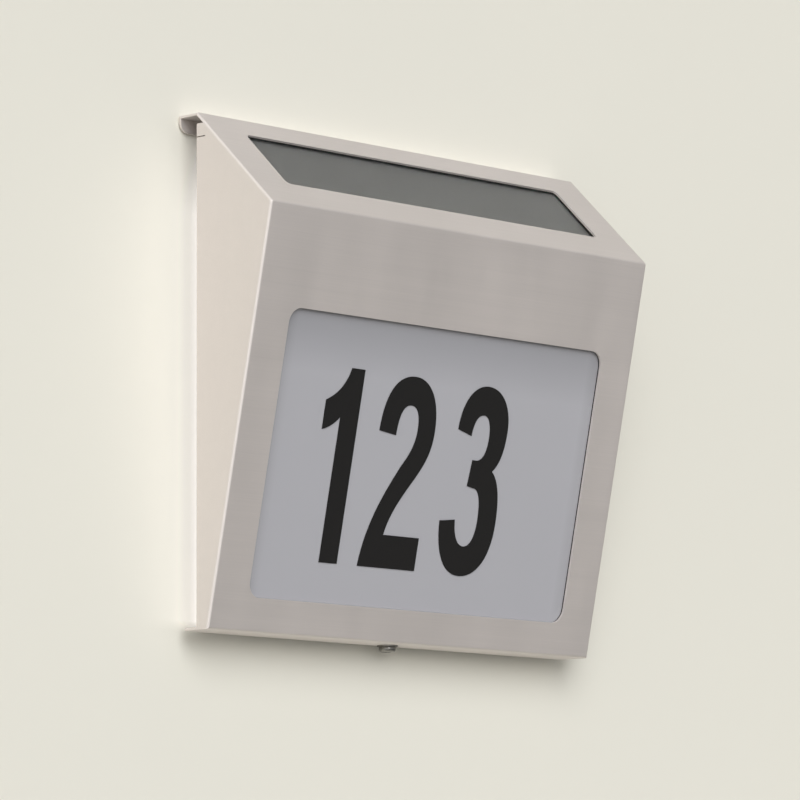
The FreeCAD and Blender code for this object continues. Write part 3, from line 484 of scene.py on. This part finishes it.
def makeDigit(name, outline):
    shaped = bpy.data.objects.new(name + "Curve", digitCurve(name, outline))
    bpy.context.scene.collection.objects.link(shaped)
    mesh = finalMesh(shaped)
    bpy.data.objects.remove(shaped)
    mesh.name = name
    lean = math.atan2(panel["footY"] - panel["foldY"], panel["foldZ"] - panel["footZ"])
    ontoPanel = Matrix.Translation((0, panel["foldY"], panel["foldZ"])) @ Matrix.Rotation(lean, 4, "X")
    sit = Matrix.Translation((panel["left"], digits["faceInset"] - digits["thick"] / 2, 0))
    stand = Matrix.Rotation(math.pi / 2, 4, "X")
    mesh.transform(ontoPanel @ sit @ stand)
    addPiece(name, mesh, vinyl, "housing")


for name, outline in digitOutlines.items():
    makeDigit(name, outline)
print("digits on the window")


# screws: a domed head with a cross recess, and a threaded shank, built point down along -Z;
# the head's and the recess's values are shares of the head's radius and height
headShape = {"footRadius": 0.97, "footHeight": 0.12, "rimHeight": 0.4, "crownRadius": 0.62, "domeSteps": 6,
             "sides": 40}
recessShape = {"top": 1.2, "bottom": 0.3, "topReach": 0.62, "bottomReach": 0.3, "halfSlot": 0.13}
thread = {"sides": 28, "stepsPerTurn": 8}
smoothAngle = math.radians(35)


def ringOf(mesh, radii, height):
    # one corner for each radius, evenly round the axis
    ring = []
    for i, radius in enumerate(radii):
        angle = 2 * math.pi * i / len(radii)
        ring.append(mesh.verts.new((radius * math.cos(angle), radius * math.sin(angle), height)))
    return ring


def lathe(mesh, profile, sides):
    # profile of radius and height; a radius of zero closes it
    rings = []
    for radius, height in profile:
        if radius == 0:
            rings.append([mesh.verts.new((0, 0, height))] * sides)
        else:
            rings.append(ringOf(mesh, [radius] * sides, height))
    for low, high in zip(rings, rings[1:]):
        for i in range(sides):
            corners = [low[i], low[(i + 1) % sides], high[(i + 1) % sides], high[i]]
            mesh.faces.new(list(dict.fromkeys(corners)))


def threadedShank(mesh, spec):
    # rings whose radius follows a helix, closed at both ends; the ridge fades out at the tip
    sides, perTurn = thread["sides"], thread["stepsPerTurn"]
    count = int(spec["length"] / spec["pitch"] * perTurn)
    rings = []
    for level in range(count + 1):
        height = -spec["length"] * level / count
        taper = min(1.0, (count - level) / perTurn)
        radii = []
        for i in range(sides):
            phase = (height / spec["pitch"] + i / sides) % 1
            ridge = 1 - abs(2 * phase - 1)
            radii.append(spec["radius"] - spec["groove"] * (1 - ridge * taper))
        rings.append(ringOf(mesh, radii, height))
    for above, below in zip(rings, rings[1:]):
        for i in range(sides):
            mesh.faces.new((above[i], below[i], below[(i + 1) % sides], above[(i + 1) % sides]))
    mesh.faces.new(list(reversed(rings[-1])))
    mesh.faces.new(rings[0])


def headProfile(spec):
    radius, high = spec["headRadius"], spec["headHeight"]
    rim, crown, steps = headShape["rimHeight"], headShape["crownRadius"], headShape["domeSteps"]
    profile = [(0, 0), (radius * headShape["footRadius"], 0), (radius, high * headShape["footHeight"]),
               (radius, high * rim)]
    for i in range(1, steps + 1):
        angle = math.pi / 2 * i / steps
        profile.append((radius * (crown + (1 - crown) * math.cos(angle)),
                        high * (rim + (1 - rim) * math.sin(angle))))
    return profile + [(0, high)]


def crossRecess(mesh, spec):
    # two crossed slots that narrow towards the bottom
    radius, high = spec["headRadius"], spec["headHeight"]
    slot = radius * recessShape["halfSlot"]
    levels = ((radius * recessShape["bottomReach"], high * recessShape["bottom"]),
              (radius * recessShape["topReach"], high * recessShape["top"]))
    for across in (False, True):
        corners = []
        for reach, height in levels:
            for x, y in ((-reach, -slot), (reach, -slot), (reach, slot), (-reach, slot)):
                corners.append(mesh.verts.new((y, x, height) if across else (x, y, height)))
        for face in ((0, 3, 2, 1), (4, 5, 6, 7), (0, 1, 5, 4), (1, 2, 6, 5), (2, 3, 7, 6), (3, 0, 4, 7)):
            mesh.faces.new([corners[i] for i in face])


def bmeshObject(name, build, *details):
    # an object whose mesh a build function fills
    work = bmesh.new()
    build(work, *details)
    bmesh.ops.recalc_face_normals(work, faces=work.faces)
    mesh = bpy.data.meshes.new(name)
    work.to_mesh(mesh)
    work.free()
    shaped = bpy.data.objects.new(name, mesh)
    bpy.context.scene.collection.objects.link(shaped)
    return shaped


def cutAway(shaped, cutter):
    change = shaped.modifiers.new("cut", "BOOLEAN")
    change.operation = "DIFFERENCE"
    change.solver = "EXACT"
    change.use_self = True
    change.object = cutter
    mesh = finalMesh(shaped)
    for used in (shaped, cutter):
        bpy.data.objects.remove(used)
    return mesh


def screwMesh(name, spec):
    head = bmeshObject(name + "Head", lathe, headProfile(spec), headShape["sides"])
    recess = bmeshObject(name + "Recess", crossRecess, spec)
    mesh = cutAway(head, recess)
    whole = bmesh.new()
    whole.from_mesh(mesh)
    threadedShank(whole, spec)
    whole.to_mesh(mesh)
    whole.free()
    mesh.name = name
    return mesh


def joinedAt(name, mesh, places):
    # copies of a mesh at several matrices as one mesh, smooth except at sharp edges
    work = bmesh.new()
    for place in places:
        copy = mesh.copy()
        copy.transform(place)
        work.from_mesh(copy)
        bpy.data.meshes.remove(copy)
    for face in work.faces:
        face.smooth = True
    for edge in work.edges:
        edge.smooth = edge.calc_face_angle(0.0) < smoothAngle
    joined = bpy.data.meshes.new(name)
    work.to_mesh(joined)
    work.free()
    return joined


def placeScrews(name, node, spec, places):
    # one piece for all the screws of a node, which it stands for
    joined = joinedAt(name, screwMesh(name + "Part", spec), places)
    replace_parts(addPiece(name, joined, materials["screw_steel"], "housing"), node)


def lockScrew():
    # its head hangs under the bottom flange, so the shank points up
    spec = {"headHeight": 2 * millimetre, "radius": 2 * millimetre, "pitch": 0.7 * millimetre,
            "groove": 0.4 * millimetre}
    low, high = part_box("lock_screw")
    spec["headRadius"] = (high[0] - low[0]) / 2
    spec["length"] = high[2] - low[2] - spec["headHeight"]
    middle = ((low[0] + high[0]) / 2, (low[1] + high[1]) / 2, low[2] + spec["headHeight"])
    place = Matrix.Translation(middle) @ Matrix.Rotation(math.pi, 4, "X")
    placeScrews("lockScrew", "lock_screw", spec, [place])


def rearScrews(name, node, spots):
    # driven forward from the rear, so the shank points along -Y; a spot says whether it is right and up
    spec = {"headHeight": 1.32 * millimetre, "headRadius": 2.2 * millimetre, "radius": 1.1 * millimetre,
            "pitch": 0.8 * millimetre, "groove": 0.25 * millimetre}
    low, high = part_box(node)
    spec["length"] = high[1] - low[1] - spec["headHeight"]
    turn = Matrix.Rotation(-math.pi / 2, 4, "X")
    places = []
    for right, up in spots:
        x = high[0] - spec["headRadius"] if right else low[0] + spec["headRadius"]
        z = high[2] - spec["headRadius"] if up else low[2] + spec["headRadius"]
        places.append(Matrix.Translation((x, high[1] - spec["headHeight"], z)) @ turn)
    placeScrews(name, node, spec, places)


lockScrew()
rearScrews("coverScrews", "cover_screws", [(0, 0), (0, 1), (1, 0), (1, 1)])
rearScrews("boardScrew", "board_screw", [(0, 0)])
print("screws with recess and thread")

# camera at the photograph's angle, turned in degrees
view = {"place": (-1.27430, -1.18489, -0.21994), "turn": (97.1735, 0.2558, -47.3686), "lens": 218.58,
        "farthest": 20}
cameraData = bpy.data.cameras.new("camera")
cameraData.lens = view["lens"]
cameraData.clip_end = view["farthest"]
camera = bpy.data.objects.new("camera", cameraData)
camera.location = view["place"]
camera.rotation_euler = [math.radians(angle) for angle in view["turn"]]
bpy.context.scene.collection.objects.link(camera)
bpy.context.scene.camera = camera
bpy.context.scene.view_settings.view_transform = "Standard"

# the wall, its opening behind the sign, a painted glow on it beside the sign, and the floor
room = {"wallSize": 4.0, "wallY": 0.0004, "floorZ": -1.9,
        "wallColour": (237, 235, 225), "floorColour": (210, 208, 202), "roughness": 0.9}
opening = {"sideInset": 0.013, "footInset": 0.003, "headInset": 0.006}
# a painted glow on the wall beside the sign
paintedGlow = {"colour": (255, 250, 246), "strength": 0.78, "inset": 0.0107, "reach": 0.006,
        "headInset": 0.004, "headFade": 0.03, "footFade": 0.004}


def stagePlane(name, corners, faces, material):
    mesh = bpy.data.meshes.new(name)
    mesh.from_pydata(corners, [], faces)
    mesh.materials.append(material)
    plane = bpy.data.objects.new(name, mesh)
    bpy.context.scene.collection.objects.link(plane)


def paintedGlowLevel(tree):
    # painted light: a glow on the wall beside the sign's left side, strongest behind the sign's edge
    low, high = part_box("housing_shell")
    parts = separated(tree, objectPlace(tree))
    away = calculated(tree, "DIVIDE", minus(tree, low[0] + paintedGlow["inset"], parts["X"]), paintedGlow["reach"])
    fade = calculated(tree, "EXPONENT", times(tree, calculated(tree, "MAXIMUM", away, 0.0), -1.0))
    leftOnly = times(tree, fade, calculated(tree, "GREATER_THAN", away, 0.0))
    underHead = minus(tree, high[2] - paintedGlow["headInset"], parts["Z"])
    aboveFoot = minus(tree, parts["Z"], low[2])
    upright = times(tree, portion(tree, underHead, paintedGlow["headFade"]),
                    portion(tree, aboveFoot, paintedGlow["footFade"]))
    return times(tree, times(tree, leftOnly, paintedGlow["strength"]), upright)


def wallPaint():
    # painted on the front only: from behind the wall is clear, so that rear views show the sign
    material, tree, shader = newMaterial("wallPaint")
    setInputs(shader, {"Base Color": linear(*room["wallColour"]), "Roughness": room["roughness"],
                       "Specular IOR Level": 0.0})
    # painted glow: emission added to the wall beside the sign, seen by the camera and in reflections
    paintedHalo = addNode(tree, "ShaderNodeEmission", Color=linear(*paintedGlow["colour"]))
    rays = addNode(tree, "ShaderNodeLightPath").outputs
    reflected = calculated(tree, "MAXIMUM", rays["Is Glossy Ray"], rays["Is Transmission Ray"])
    seen = calculated(tree, "MAXIMUM", rays["Is Camera Ray"], reflected)
    tree.links.new(times(tree, paintedGlowLevel(tree), seen), paintedHalo.inputs["Strength"])
    front = addNode(tree, "ShaderNodeAddShader")
    tree.links.new(shader.outputs[0], front.inputs[0])
    tree.links.new(paintedHalo.outputs[0], front.inputs[1])
    clear = addNode(tree, "ShaderNodeBsdfTransparent")
    mix = addNode(tree, "ShaderNodeMixShader")
    tree.links.new(addNode(tree, "ShaderNodeNewGeometry").outputs["Backfacing"], mix.inputs["Fac"])
    tree.links.new(front.outputs[0], mix.inputs[1])
    tree.links.new(clear.outputs[0], mix.inputs[2])
    tree.links.new(mix.outputs[0], tree.nodes["Material Output"].inputs["Surface"])
    return material


def floorPaint():
    material, _, shader = newMaterial("floorPaint")
    setInputs(shader, {"Base Color": linear(*room["floorColour"]), "Roughness": room["roughness"]})
    return material


def makeRoom():
    # the wall is open behind the sign, so that light from the rear reaches the bracket in views of the back
    half = room["wallSize"] / 2
    outer = [(-half, -half), (half, -half), (half, half), (-half, half)]
    low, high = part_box("housing_shell")
    left, right = low[0] + opening["sideInset"], high[0] - opening["sideInset"]
    foot, head = low[2] + opening["footInset"], high[2] - opening["headInset"]
    inner = [(left, foot), (right, foot), (right, head), (left, head)]
    stagePlane("wall", [(x, room["wallY"], z) for x, z in outer + inner],
               [(i, (i + 1) % 4, 4 + (i + 1) % 4, 4 + i) for i in range(4)], wallPaint())
    stagePlane("floor", [(x, y, room["floorZ"]) for x, y in outer], [(0, 1, 2, 3)], floorPaint())


makeRoom()

# soft studio light: a sky brightest on the left and at eye level, and a broad sun from the upper left
sky = {"colour": (1, 0.99, 0.97, 1), "left": 1.14, "right": 0.28,
       "dimBelow": 0.8, "dimAbove": 0.5, "dimRateBelow": 3.0, "dimRateAbove": 1.5}
key = {"place": (-0.8, -1.3, 0.75), "spread": 46, "power": 1.98}


def makeSky():
    world = bpy.data.worlds.new("world")
    world.use_nodes = True
    tree = world.node_tree
    parts = separated(tree, addNode(tree, "ShaderNodeTexCoord").outputs["Generated"])
    toRight = times(tree, plus(tree, parts["X"], 1.0), 0.5, clamp=True)
    fromSide = plus(tree, times(tree, toRight, sky["right"] - sky["left"]), sky["left"])
    below = times(tree, parts["Z"], -sky["dimRateBelow"], clamp=True)
    above = times(tree, parts["Z"], sky["dimRateAbove"], clamp=True)
    dimming = plus(tree, times(tree, below, sky["dimBelow"]), times(tree, above, sky["dimAbove"]))
    background = tree.nodes["Background"]
    background.inputs["Color"].default_value = sky["colour"]
    tree.links.new(times(tree, fromSide, minus(tree, 1.0, dimming)), background.inputs["Strength"])
    bpy.context.scene.world = world


def makeKeyLamp():
    light = bpy.data.lights.new("keyLight", "SUN")
    light.angle = math.radians(key["spread"])
    light.energy = key["power"]
    lamp = bpy.data.objects.new("keyLamp", light)
    lamp.location = key["place"]
    lamp.rotation_euler = (-Vector(key["place"])).to_track_quat("-Z", "Y").to_euler()
    bpy.context.scene.collection.objects.link(lamp)


makeSky()
makeKeyLamp()
print("room and lamps ready")
